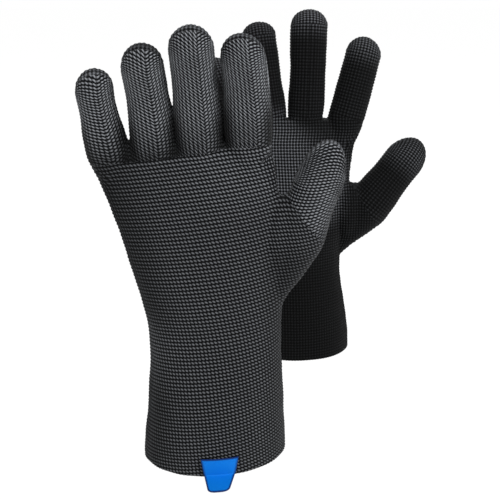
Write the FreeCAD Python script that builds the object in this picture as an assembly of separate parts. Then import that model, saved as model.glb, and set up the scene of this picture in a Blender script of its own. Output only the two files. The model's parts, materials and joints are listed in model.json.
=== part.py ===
"""A pair of textured neoprene cold-protection gloves, standing on their cuffs.

Each glove is a palm panel, a back panel and an inner lining for the cuff and hand, and for each
finger and the thumb a palm stall, a side gusset, a back stall and a lining.  A woven tab is sewn to
the cuff.  The right glove stands in front with its palm to -Y, the left one behind it with its back
to -Y.  Sizes are in millimetres, +Z is up and the floor is z = 0.
"""
import FreeCAD, Part
import math
import os
from dataclasses import dataclass

from FreeCAD import Matrix, Vector

# Fabric
skin = 2.4                  # textured neoprene of the panels and stalls
lining = 1.6                # fleece lining inside it
lining_gap = 0.15           # air between the skin and the lining
joint_gap = 0.4             # clearance between a stall and the hand
lining_step = 3.0           # height of the lining's edge above the hem

# Cuff and hand, the same on both gloves
hem_half_width = 47.4
hem_half_depth = 38.0
cuff_half_depth = 34.5      # halfway up the cuff
wrist_half_depth = 28.5
thenar_half_depth = 25.5    # where the thumb leaves the hand
palm_half_depth = 20.5

# Finger joints
socket_share = 0.86         # half depth of a stall at its joint, as a share of the joint's radius
socket_margin = 0.6         # how much deeper than the stall the joint is
side_margin = 0.3           # how much wider than the stall the joint is, on each side
notch_share = 0.5           # size cleared between stalls under the web, as a share of the stall
gusset_start = 0.3          # where the side gusset starts, as a share of the stall's half width

# Woven tab on the cuff
tab_thickness = 1.0
tab_top_width = 24.0
tab_end_width = 14.0
tab_rise = 11.0             # height of its sewn edge above the hem
tab_reach = 20.0            # how far it lies out on the floor
tab_offset = 4.0            # its middle, to the thumb side of the cuff's middle
tab_corner = 3.9            # radius of its two free corners

# Where the second glove stands from the first
pair_step_x = 61.0
pair_step_y = 176.0

# How finely the forms are drawn
section_points = 12
section_start = 5.3         # share of a step by which a section's seam is turned from the side
hand_sections = 12
section_spacing = 13.0
run_below_hem = 6.0
wide_side = 34.0            # farther out than any stall reaches from its middle line
past_tip = 6.0              # how far a stall's parting surfaces run on past its tip
room = 200.0                # reach of a block that takes in a whole glove
dome_steps = (0.4, 0.7, 0.88, 0.97, 0.996)      # sections of a rounded tip, as shares of its length
same = 0.01                 # sizes closer than this are the same


@dataclass
class Station:
    """One level section of a hand: an oval from -left to +right of the cuff's middle."""
    height: float
    left: float
    right: float
    depth: float


@dataclass
class Digit:
    """Sizes of one finger or thumb stall, from its joint to its tip."""
    name: str
    length: float
    radius: float           # mean radius over most of its length
    root_radius: float      # mean radius at the joint
    root_below: float       # how far its form runs down into the hand
    buried_radius: float    # mean radius down there


@dataclass
class Pose:
    """How one stall stands on its hand."""
    joint_x: float
    joint_z: float
    lean: float             # degrees from upright, towards the thumb side
    curl_root: float        # degrees towards the palm at the joint
    curl_tip: float         # the same at the tip
    flattening: float       # share by which it is wider than deep
    dome: float             # length of the rounded tip
    open_left: float        # extra reach of the joint past its left side
    open_right: float


little = Digit("little", length=60.0, radius=11.6, root_radius=12.0, root_below=26.0, buried_radius=11.6)
ring = Digit("ring", length=70.5, radius=12.4, root_radius=12.4, root_below=26.0, buried_radius=12.0)
middle = Digit("middle", length=78.5, radius=13.2, root_radius=13.0, root_below=26.0, buried_radius=12.0)
index = Digit("index", length=69.0, radius=13.0, root_radius=13.4, root_below=26.0, buried_radius=12.0)
thumb = Digit("thumb", length=70.0, radius=14.6, root_radius=16.4, root_below=42.0, buried_radius=8.0)
digits = (little, ring, middle, index, thumb)

right_hand = (
    Station(height=0.0, left=hem_half_width, right=hem_half_width, depth=hem_half_depth),
    Station(height=42.0, left=43.4, right=45.6, depth=cuff_half_depth),
    Station(height=84.0, left=42.0, right=43.8, depth=wrist_half_depth),
    Station(height=118.0, left=48.6, right=44.5, depth=thenar_half_depth),
    Station(height=156.0, left=59.5, right=44.0, depth=palm_half_depth),
    Station(height=190.0, left=71.0, right=40.0, depth=14.2),
    Station(height=203.0, left=75.5, right=37.5, depth=11.2),
    Station(height=211.0, left=74.0, right=35.0, depth=7.0),
)
left_hand = (
    Station(height=0.0, left=hem_half_width, right=hem_half_width, depth=hem_half_depth),
    Station(height=38.0, left=44.0, right=42.5, depth=cuff_half_depth),
    Station(height=75.0, left=42.0, right=37.5, depth=wrist_half_depth),
    Station(height=110.0, left=47.0, right=40.5, depth=thenar_half_depth),
    Station(height=145.0, left=54.0, right=43.5, depth=palm_half_depth),
    Station(height=176.0, left=61.0, right=47.0, depth=14.2),
    Station(height=188.0, left=62.5, right=50.0, depth=12.0),
    Station(height=195.0, left=60.0, right=47.0, depth=9.0),
)

right_poses = {
    "little": Pose(-63.4, 202.0, -10.0, 3.0, 40.0, 0.0, 12.0, 12.0, 0.0),
    "ring": Pose(-35.1, 206.0, -4.0, 3.0, 40.0, 0.0, 13.0, 0.0, 0.0),
    "middle": Pose(-7.2, 210.0, -3.0, 3.0, 40.0, 0.0, 14.0, 0.0, 0.0),
    "index": Pose(22.8, 214.0, -2.0, 3.0, 40.0, 0.02, 14.0, 0.0, 12.0),
    "thumb": Pose(51.4, 145.0, 21.0, 2.0, 24.0, 0.03, 30.0, 0.0, 12.0),
}
left_poses = {
    "little": Pose(-50.0, 186.0, -19.0, 2.0, 16.0, 0.1, 12.0, 12.0, 0.0),
    "ring": Pose(-22.3, 201.0, -8.5, 2.0, 14.0, 0.1, 12.0, 0.0, 0.0),
    "middle": Pose(7.3, 202.0, 1.5, 2.0, 14.0, 0.1, 13.0, 0.0, 0.0),
    "index": Pose(38.6, 192.0, 14.5, 2.0, 14.0, 0.08, 13.0, 0.0, 12.0),
    "thumb": Pose(57.5, 120.0, 38.0, 2.0, 14.0, 0.1, 18.0, 0.0, 12.0),
}


def oval(centre, across, through, half_across, half_through):
    """Closed oval wire about a centre, with two unit directions and half sizes."""
    points = []
    for step in range(section_points):
        turn = 2 * math.pi * (step + section_start) / section_points
        points.append(centre + across * (half_across * math.cos(turn))
                      + through * (half_through * math.sin(turn)))
    curve = Part.BSplineCurve()
    curve.interpolate(Points=points, PeriodicFlag=True)
    return Part.Wire([curve.toShape()])


def eased(stops, place):
    """A value that passes smoothly through (place, value) stops and is level beyond them."""
    places = [stop[0] for stop in stops]
    values = [stop[1] for stop in stops]
    if place <= places[0]:
        return values[0]
    if place >= places[-1]:
        return values[-1]
    row = max(i for i in range(len(stops) - 1) if places[i] <= place)

    def slope(i):
        if i in (0, len(stops) - 1):
            return 0.0
        return (values[i + 1] - values[i - 1]) / (places[i + 1] - places[i - 1])

    span = places[row + 1] - places[row]
    part = (place - places[row]) / span
    start, end = values[row], values[row + 1]
    return (start * (1 + 2 * part) * (1 - part) ** 2 + slope(row) * span * part * (1 - part) ** 2
            + end * part ** 2 * (3 - 2 * part) + slope(row + 1) * span * part ** 2 * (part - 1))


def hand_solid(stations, inset):
    """The hand and cuff as a closed solid, drawn in by an inset, and run on below the hem."""
    def width(side):
        return [(station.height, getattr(station, side)) for station in stations]

    top = stations[-1].height
    wires = []
    for row in range(hand_sections + 1):
        level = -run_below_hem + (top + run_below_hem) * row / hand_sections
        left, right = eased(width("left"), level), eased(width("right"), level)
        depth = eased(width("depth"), level)
        height = -run_below_hem + (top - inset + run_below_hem) * row / hand_sections
        centre = Vector((right - left) / 2, 0, height)
        wires.append(oval(centre, Vector(1, 0, 0), Vector(0, 1, 0), (right + left) / 2 - inset, depth - inset))
    return Part.makeLoft(wires, True)


class Stall:
    """The curved tube of one finger or thumb, with its joint."""

    def __init__(self, digit, pose):
        self.digit = digit
        self.pose = pose
        lean = math.radians(pose.lean)
        self.along = Vector(math.sin(lean), 0, math.cos(lean))
        self.across = Vector(math.cos(lean), 0, -math.sin(lean))
        self.palmward = Vector(0, -1, 0)
        self.joint = Vector(pose.joint_x, 0, pose.joint_z)
        self.root_width = digit.root_radius * (1 + pose.flattening)
        self.root_depth = digit.root_radius * (1 - pose.flattening)
        self.socket_radius = (self.root_depth + socket_margin) / socket_share

    def frame_at(self, distance):
        """Centre and depth direction of the tube at a distance from its joint."""
        start = math.radians(self.pose.curl_root)
        end = math.radians(self.pose.curl_tip)
        if distance <= 0:
            return self.joint + self.along * distance, self.palmward
        rate = (end - start) / self.digit.length
        turn = start + rate * distance
        forward = (math.sin(turn) - math.sin(start)) / rate
        sideways = (math.cos(start) - math.cos(turn)) / rate
        centre = self.joint + self.along * forward + self.palmward * sideways
        depth = self.palmward * math.cos(turn) - self.along * math.sin(turn)
        return centre, depth

    def solid(self, inset):
        """The stall as a closed solid, drawn in by an inset."""
        digit, pose = self.digit, self.pose
        tube_end = digit.length - pose.dome
        stops = ((-digit.root_below, digit.buried_radius), (0.0, digit.root_radius),
                 (tube_end * 0.6, digit.radius))
        count = max(3, round((tube_end + digit.root_below) / section_spacing))
        wires = []
        for row in range(count + 1):
            distance = -digit.root_below + (tube_end + digit.root_below) * row / count
            wires.append(self.section(distance, eased(stops, distance), inset, 1.0))
        for step in dome_steps:
            distance = tube_end + (pose.dome - inset) * step
            wires.append(self.section(distance, digit.radius, inset, math.sqrt(1 - step * step)))
        return Part.makeLoft(wires, True)

    def section(self, distance, radius, inset, share):
        centre, depth = self.frame_at(distance)
        half_across = (radius * (1 + self.pose.flattening) - inset) * share
        half_through = (radius * (1 - self.pose.flattening) - inset) * share
        return oval(centre, self.across, depth, half_across, half_through)

    def block(self, low, high):
        """A box in the joint's own directions: across, palmward and along."""
        size = [high[axis] - low[axis] for axis in range(3)]
        shape = Part.makeBox(size[0], size[1], size[2], Vector(low[0], low[1], low[2]))
        place = Matrix(self.across.x, self.palmward.x, self.along.x, self.joint.x,
                       self.across.y, self.palmward.y, self.along.y, self.joint.y,
                       self.across.z, self.palmward.z, self.along.z, self.joint.z,
                       0, 0, 0, 1)
        return shape.transformGeometry(place)

    def region(self, grow):
        """All the space that turns with the stall, grown by a clearance."""
        pose = self.pose
        left = -self.root_width - side_margin - pose.open_left - grow
        right = self.root_width + side_margin + pose.open_right + grow
        radius = self.socket_radius + grow
        drum = Part.makeCylinder(radius, right - left, self.joint + self.across * left, self.across)
        lip = self.socket_radius * math.sqrt(1 - socket_share ** 2)
        reach = self.digit.length + self.digit.radius
        above = self.block((left, -reach, -lip - grow), (right, reach, reach))
        return drum.fuse(above)

    def tube(self, inset, thickness, web_height):
        """One layer of the stall, open below, with its inner side walls cut away under the web."""
        layer = self.solid(inset).cut(self.solid(inset + thickness)).common(self.region(0.0))
        notch_top = web_height - self.joint.z
        if not self.pose.open_left:
            layer = layer.cut(self.notch(-1, notch_top))
        if not self.pose.open_right:
            layer = layer.cut(self.notch(1, notch_top))
        return layer

    def notch(self, side, top):
        """The block that clears one side wall below the web, between palm and back."""
        half = self.root_depth * notch_share
        outer = side * wide_side
        inner = side * self.root_width * notch_share
        return self.block((min(outer, inner), -half, -2 * self.socket_radius), (max(outer, inner), half, top))

    def strip(self, low_across, high_across, low_depth, high_depth):
        """A curved bar that follows the tube, used to part it into panels."""
        wires = []
        for distance in (-self.digit.root_below, 0.0, self.digit.length / 3,
                         self.digit.length * 2 / 3, self.digit.length + past_tip):
            centre, depth = self.frame_at(distance)
            corners = [centre + self.across * x + depth * y
                       for x, y in ((low_across, low_depth), (high_across, low_depth),
                                    (high_across, high_depth), (low_across, high_depth))]
            wires.append(Part.makePolygon(corners + corners[:1]))
        return Part.makeLoft(wires, True, True)


def slab(low_y, high_y):
    """A block of space between two depths, wider and higher than a glove."""
    return Part.makeBox(2 * room, high_y - low_y, 2 * room, Vector(-room, low_y, -run_below_hem))


class Glove:
    """One glove in its own directions: palm to -Y, thumb to +X, hem on z = 0."""

    def __init__(self, side, stations, poses):
        self.side = side
        self.stations = stations
        self.stalls = [Stall(digit, poses[digit.name]) for digit in digits]
        self.web_height = stations[-1].height
        self.pieces = {}

    def form(self, inset, bottom=None):
        """The cuff, hand and thumb as one closed solid, drawn in by an inset."""
        hand = hand_solid(self.stations, inset)
        if bottom is not None:
            hand = hand.cut(Part.makeBox(2 * room, 2 * room, room, Vector(-room, -room, bottom - room)))
        return hand.fuse(self.stalls[-1].solid(inset))

    def layer(self, inset, thickness, bottom):
        """One layer of fabric over cuff, hand and thumb, with its lower edge at a bottom height."""
        return self.form(inset, bottom).cut(self.form(inset + thickness))

    def keep(self, name, shape):
        """Store one named piece as its largest solid, without any sliver that cutting leaves."""
        solids = sorted(shape.Solids, key=lambda solid: solid.Volume)
        for sliver in solids[:-1]:
            box = sliver.BoundBox
            print("dropped", self.side, name, round(sliver.Volume, 2), "mm3 of", round(solids[-1].Volume),
                  "height", round(box.ZMin, 1), "to", round(box.ZMax, 1))
        self.pieces[f"{self.side}_{name}"] = solids[-1]

    def build(self):
        """Make every piece of the glove."""
        shell = self.layer(0.0, skin, 0.0)
        fleece = self.layer(skin + lining_gap, lining, lining_step)
        hand, hand_fleece = shell, fleece
        for stall in self.stalls:
            hand = hand.cut(stall.region(joint_gap))
            hand_fleece = hand_fleece.cut(stall.region(joint_gap))
        self.keep("palm_panel", hand.common(slab(-room, 0)))
        self.keep("back_panel", hand.common(slab(0, room)))
        self.keep("hand_lining", hand_fleece)
        self.keep("label_tab", self.tab())
        for stall in self.stalls[:-1]:
            tube = stall.tube(0.0, skin, self.web_height)
            seam = gusset_start * stall.root_width
            self.part_stall(stall, tube, {"palm": (-wide_side, seam, 0, wide_side),
                                          "back": (-wide_side, seam, -wide_side, 0),
                                          "gusset": (seam, wide_side, -wide_side, wide_side)})
            name = stall.digit.name
            self.keep(f"{name}_lining", stall.tube(skin + lining_gap, lining, self.web_height))
        stall = self.stalls[-1]
        self.part_stall(stall, shell.common(stall.region(0.0)),
                        {"palm": (-wide_side, wide_side, 0, wide_side),
                         "back": (-wide_side, wide_side, -wide_side, 0)})
        self.keep("thumb_lining", fleece.common(stall.region(0.0)))
        return self.pieces

    def part_stall(self, stall, tube, panels):
        """Part a stall's skin into its panels along curved bars."""
        for panel, limits in panels.items():
            self.keep(f"{stall.digit.name}_{panel}", tube.common(stall.strip(*limits)))

    def tab(self):
        """The woven tab: sewn to the cuff, folded at the hem and lying out on the floor."""
        span = tab_rise + tab_reach
        hem_width = tab_top_width - (tab_top_width - tab_end_width) * tab_rise / span
        front = -hem_half_depth - tab_reach
        top, hem, end = tab_top_width / 2, hem_width / 2, tab_end_width / 2
        upright = Part.makePolygon([Vector(tab_offset + x, front, z) for x, z in
                                    ((-top, tab_rise), (top, tab_rise), (hem, 0), (-hem, 0), (-top, tab_rise))])
        upright = Part.Face(upright).extrude(Vector(0, hem_half_depth + tab_reach, 0))
        sleeve = hand_solid(self.stations, -lining_gap - tab_thickness)
        flat = Part.makePolygon([Vector(tab_offset + x, y, 0) for x, y in
                                 ((-hem, -hem_half_depth / 2), (hem, -hem_half_depth / 2), (hem, -hem_half_depth),
                                  (end, front), (-end, front), (-hem, -hem_half_depth),
                                  (-hem, -hem_half_depth / 2))])
        flat = Part.Face(flat).extrude(Vector(0, 0, tab_thickness))
        corners = [edge for edge in flat.Edges
                   if abs(edge.CenterOfMass.y - front) < same and abs(edge.Length - tab_thickness) < same]
        flat = flat.makeFillet(tab_corner, corners)
        whole = sleeve.common(upright).fuse(flat).removeSplitter()
        return whole.cut(hand_solid(self.stations, -lining_gap))


def main():
    """Build both gloves, centre the pair over the origin and write each piece."""
    right = Glove("right", right_hand, right_poses).build()
    left = Glove("left", left_hand, left_poses).build()
    pieces = dict(right)
    for name, shape in left.items():
        turned = shape.mirror(Vector(0, 0, 0), Vector(0, 1, 0))
        turned.translate(Vector(pair_step_x, pair_step_y, 0))
        pieces[name] = turned
    box = Part.makeCompound(list(pieces.values())).optimalBoundingBox(False, False)
    shift = Vector(-(box.XMin + box.XMax) / 2, -(box.YMin + box.YMax) / 2, 0)
    print("shift", round(shift.x, 3), round(shift.y, 3), "size", box)
    os.makedirs("parts", exist_ok=True)
    for name, shape in pieces.items():
        shape.translate(shift)
        print(name, len(shape.Solids), round(shape.Volume), shape.isValid())
        shape.exportStep(f"parts/{name}.step")


main()
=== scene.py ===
"""A pair of textured neoprene gloves standing on their hems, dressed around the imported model."""

import json
import logging
import math
from dataclasses import dataclass, field
from enum import Enum

import bmesh
import bpy
import numpy as np
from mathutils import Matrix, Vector

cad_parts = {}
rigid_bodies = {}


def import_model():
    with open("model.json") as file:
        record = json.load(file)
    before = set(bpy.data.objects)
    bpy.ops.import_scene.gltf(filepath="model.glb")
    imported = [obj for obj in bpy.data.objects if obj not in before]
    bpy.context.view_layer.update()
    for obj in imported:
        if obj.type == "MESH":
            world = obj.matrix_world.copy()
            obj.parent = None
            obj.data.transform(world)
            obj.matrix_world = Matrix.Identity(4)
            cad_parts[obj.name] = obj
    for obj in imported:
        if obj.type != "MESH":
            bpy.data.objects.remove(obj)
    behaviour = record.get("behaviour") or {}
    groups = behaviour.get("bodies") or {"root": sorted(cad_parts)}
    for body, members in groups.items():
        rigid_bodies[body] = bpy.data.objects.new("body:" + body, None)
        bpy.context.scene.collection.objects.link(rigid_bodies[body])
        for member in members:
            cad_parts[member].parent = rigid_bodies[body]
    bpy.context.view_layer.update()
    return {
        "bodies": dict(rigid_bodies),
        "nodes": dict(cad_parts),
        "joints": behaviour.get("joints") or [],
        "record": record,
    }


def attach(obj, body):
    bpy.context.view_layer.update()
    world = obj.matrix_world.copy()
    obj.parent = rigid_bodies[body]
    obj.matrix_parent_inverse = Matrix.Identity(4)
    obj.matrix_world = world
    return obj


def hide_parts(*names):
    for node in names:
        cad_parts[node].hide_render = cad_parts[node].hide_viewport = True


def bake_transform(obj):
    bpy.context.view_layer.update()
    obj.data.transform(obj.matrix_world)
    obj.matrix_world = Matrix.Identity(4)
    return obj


logging.basicConfig(level=logging.INFO, format="%(message)s")
log = logging.getLogger("gloves")

MM = 0.001


class Side(Enum):
    """Which hand a glove is for."""
    RIGHT = "right"
    LEFT = "left"


class Panel(Enum):
    """The panels that a glove's skin is cut from."""
    PALM = "palm"
    BACK = "back"
    GUSSET = "gusset"


@dataclass(frozen=True)
class Fabric:
    """The layers of the glove's wall, in millimetres."""
    skin: float = 2.4
    gap: float = 0.15
    fleece: float = 1.6
    pitch: float = 2.4          # from one raised cell of the skin to the next
    relief: float = 0.34        # height of a cell above the middle of the skin


@dataclass(frozen=True)
class Station:
    """One level section of a hand, in millimetres from the cuff's middle."""
    height: float
    left: float
    right: float
    depth: float


@dataclass(frozen=True)
class Digit:
    """A finger or thumb stall, from its joint to its tip, in millimetres."""
    name: str
    length: float
    radius: float
    root_radius: float
    root_below: float
    buried_radius: float


@dataclass(frozen=True)
class Pose:
    """How a stall stands: its curl in degrees, its flattening and the slant of its rows."""
    curl_root: float
    curl_tip: float
    flattening: float
    dome: float
    slant: float = 0.0          # rise of the rows towards the gusset seam
    gusset_slant: float = 0.0   # the same on the gusset, the other way
    sway: float = 0.0           # how far the tip leans to the thumb side, in millimetres
    trim: float = 0.0           # how much shorter the stall stands, in millimetres
    swell: float = 0.0          # how much fuller it is at its root, in millimetres


@dataclass(frozen=True)
class Weave:
    """How strongly the raised cells follow rows, columns and slanted lines."""
    rows: float
    columns: float
    slanted: float


DIGITS = (
    Digit("little", 60.0, 11.2, 12.0, 26.0, 6.5),
    Digit("ring", 70.5, 12.4, 12.4, 26.0, 10.0),
    Digit("middle", 78.5, 13.2, 13.0, 26.0, 10.0),
    Digit("index", 69.0, 13.0, 13.4, 26.0, 10.0),
    Digit("thumb", 70.0, 14.6, 16.4, 42.0, 8.0),
)
THUMB = len(DIGITS) - 1
RIGHT_HAND = (
    Station(0.0, 47.4, 47.4, 38.0), Station(42.0, 43.4, 45.6, 34.5), Station(84.0, 42.0, 43.8, 28.5),
    Station(118.0, 48.6, 44.5, 25.5), Station(156.0, 59.5, 44.0, 20.5), Station(190.0, 71.0, 40.0, 14.2),
    Station(203.0, 75.5, 37.5, 11.2), Station(211.0, 74.0, 35.0, 7.0),
)
LEFT_HAND = (
    Station(0.0, 47.4, 47.4, 38.0), Station(38.0, 44.0, 42.5, 34.5), Station(75.0, 42.0, 37.5, 28.5),
    Station(110.0, 47.0, 40.5, 25.5), Station(145.0, 54.0, 43.5, 20.5), Station(176.0, 61.0, 47.0, 14.2),
    Station(188.0, 62.5, 50.0, 12.0), Station(195.0, 60.0, 47.0, 9.0),
)
RIGHT_POSES = {
    "little": Pose(3.0, 40.0, 0.0, 12.0, 0.30, 0.75, sway=4.4, trim=3.6, swell=0.9),
    "ring": Pose(3.0, 40.0, 0.0, 13.0, 0.55, 0.95, trim=1.8, swell=1.4),
    "middle": Pose(3.0, 40.0, 0.0, 14.0, 0.75, 0.95, trim=2.6, swell=1.4),
    "index": Pose(3.0, 40.0, 0.02, 16.0, 0.85, 0.6, sway=-2.8, trim=2.6, swell=1.0),
    "thumb": Pose(2.0, 24.0, 0.03, 32.0, -0.45, 0.8, sway=-4.0, trim=-4.0),
}
LEFT_POSES = {
    "little": Pose(2.0, 16.0, 0.1, 12.0), "ring": Pose(2.0, 14.0, 0.1, 12.0),
    "middle": Pose(2.0, 14.0, 0.1, 13.0), "index": Pose(2.0, 14.0, 0.08, 13.0),
    "thumb": Pose(2.0, 14.0, 0.1, 23.0, trim=-2.0),
}


# Raised cells in upright and slanting rows on the palm and fingers, and square ones on the back
PALM_WEAVE = Weave(1.0, 0.6, 0.75)
FINGER_WEAVE = Weave(1.0, 0.4, 0.5)
BACK_WEAVE = Weave(1.0, 1.0, 0.0)


def eased(stops: list[tuple[float, float]], place: np.ndarray | float) -> np.ndarray:
    """A value that runs smoothly through its stops and is level beyond them.

    Args:
        stops: (place, value) pairs in rising order of place.
        place: where the value is wanted.

    Returns:
        The value at each place.
    """
    places = np.array([stop[0] for stop in stops])
    values = np.array([stop[1] for stop in stops])
    slopes = np.zeros(len(stops))
    slopes[1:-1] = (values[2:] - values[:-2]) / (places[2:] - places[:-2])
    at = np.clip(place, places[0], places[-1])
    row = np.clip(np.searchsorted(places, at, side="right") - 1, 0, len(stops) - 2)
    span = places[row + 1] - places[row]
    part = (at - places[row]) / span
    return (values[row] * (1 + 2 * part) * (1 - part) ** 2 + slopes[row] * span * part * (1 - part) ** 2
            + values[row + 1] * part ** 2 * (3 - 2 * part) + slopes[row + 1] * span * part ** 2 * (part - 1))


def smoothstep(low: float, high: float, value: np.ndarray) -> np.ndarray:
    """A smooth rise from 0 at low to 1 at high.

    Args:
        low: where the rise starts.
        high: where it ends; below low the value falls instead.
        value: the places.

    Returns:
        The share at each place.
    """
    part = np.clip((value - low) / (high - low), 0.0, 1.0)
    return part * part * (3 - 2 * part)


def colour(code: str) -> tuple[float, float, float, float]:
    """An sRGB hex code as a linear colour with full alpha.

    Args:
        code: a hash sign and six hex digits.

    Returns:
        Linear red, green, blue and alpha.
    """
    parts = [int(code[i:i + 2], 16) / 255 for i in (1, 3, 5)]
    linear = [c / 12.92 if c <= 0.04045 else ((c + 0.055) / 1.055) ** 2.4 for c in parts]
    return (*linear, 1.0)


def node(tree: bpy.types.NodeTree, kind: str, links: dict | None = None, **settings) -> bpy.types.Node:
    """Add one shader node.

    Args:
        tree: the material's node tree.
        kind: the node's type name.
        links: input name or number to a value, or to an output socket to link from.
        settings: attributes of the node.

    Returns:
        The new node.
    """
    made = tree.nodes.new(kind)
    for name, value in settings.items():
        setattr(made, name, value)
    for key, value in (links or {}).items():
        if isinstance(value, bpy.types.NodeSocket):
            tree.links.new(value, made.inputs[key])
        else:
            made.inputs[key].default_value = value
    return made


def tube_rings(rings: list[np.ndarray]) -> tuple[np.ndarray, list[tuple[int, ...]]]:
    """A closed tube through rings of equal point counts, as points and faces.

    Args:
        rings: the rings from one end to the other.

    Returns:
        All points, and the faces of the sides and of both ends.
    """
    count = len(rings[0])
    points = np.concatenate(rings)
    faces = []
    for row in range(len(rings) - 1):
        for step in range(count):
            turn = (step + 1) % count
            faces.append((row * count + step, row * count + turn, (row + 1) * count + turn, (row + 1) * count + step))
    faces.append(tuple(reversed(range(count))))
    faces.append(tuple(range((len(rings) - 1) * count, len(rings) * count)))
    return points, faces


def mesh_object(name: str, points: np.ndarray, faces: list) -> bpy.types.Object:
    """A new object with a mesh of the given points and faces, linked to the scene.

    Args:
        name: the object's and the mesh's name.
        points: places of the points.
        faces: the points' numbers round each face.

    Returns:
        The new object.
    """
    mesh = bpy.data.meshes.new(name)
    mesh.from_pydata([tuple(p) for p in points], [], faces)
    mesh.update()
    obj = bpy.data.objects.new(name, mesh)
    bpy.context.collection.objects.link(obj)
    return obj


def pick(*objs: bpy.types.Object) -> None:
    """Leave only the given objects selected, with the first one active.

    Args:
        objs: the objects to select.
    """
    bpy.ops.object.select_all(action="DESELECT")
    for obj in objs:
        obj.select_set(True)
    bpy.context.view_layer.objects.active = objs[0]


def finish_with(obj: bpy.types.Object, kind: str, **settings) -> None:
    """Add a modifier with its settings and apply it.

    Args:
        obj: the object to shape.
        kind: the modifier's type name.
        settings: attributes of the modifier.
    """
    pick(obj)
    modifier = obj.modifiers.new(kind.title(), kind)
    for name, value in settings.items():
        setattr(modifier, name, value)
    bpy.ops.object.modifier_apply(modifier=modifier.name)


def coordinates(obj: bpy.types.Object) -> np.ndarray:
    """The points of an object's mesh as rows of x, y and z.

    Args:
        obj: a mesh object.

    Returns:
        One row for each point.
    """
    values = np.empty(len(obj.data.vertices) * 3)
    obj.data.vertices.foreach_get("co", values)
    return values.reshape(-1, 3)


def blank_material(name: str) -> tuple[bpy.types.Material, bpy.types.NodeTree]:
    """A new material whose node tree is empty.

    Args:
        name: the material's name.

    Returns:
        The material and its node tree.
    """
    made = bpy.data.materials.new(name)
    made.use_nodes = True
    made.node_tree.nodes.clear()
    return made, made.node_tree


def seen_directly(tree: bpy.types.NodeTree) -> bpy.types.NodeSocket:
    """A socket that is 1 for camera, glossy and transmission rays and 0 for all others.

    Args:
        tree: the node tree that the socket is for.

    Returns:
        The output socket.
    """
    path = node(tree, "ShaderNodeLightPath")
    seen = node(tree, "ShaderNodeMath", {0: path.outputs["Is Camera Ray"], 1: path.outputs["Is Glossy Ray"]},
                operation="MAXIMUM")
    seen = node(tree, "ShaderNodeMath", {0: seen.outputs[0], 1: path.outputs["Is Transmission Ray"]},
                operation="MAXIMUM")
    return seen.outputs[0]


def place_points(obj: bpy.types.Object, points: np.ndarray) -> None:
    """Write the points of an object's mesh."""
    obj.data.vertices.foreach_set("co", points.astype(np.float32).ravel())
    obj.data.update()


GUSSET_SEAM = 0.3       # where the seam between palm stall and gusset runs, as a share of the radius
REACH_BELOW = 60.0      # how far below a joint its stall's directions are sampled
REACH_PAST = 12.0       # and past its tip
FULL_UNTIL = 0.3        # share of the tube that keeps its root's radius
SLIM_FROM = 0.75        # share from which it has the finger's own radius
TIP_SHARE = 0.06        # size of the last ring at the tip


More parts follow.
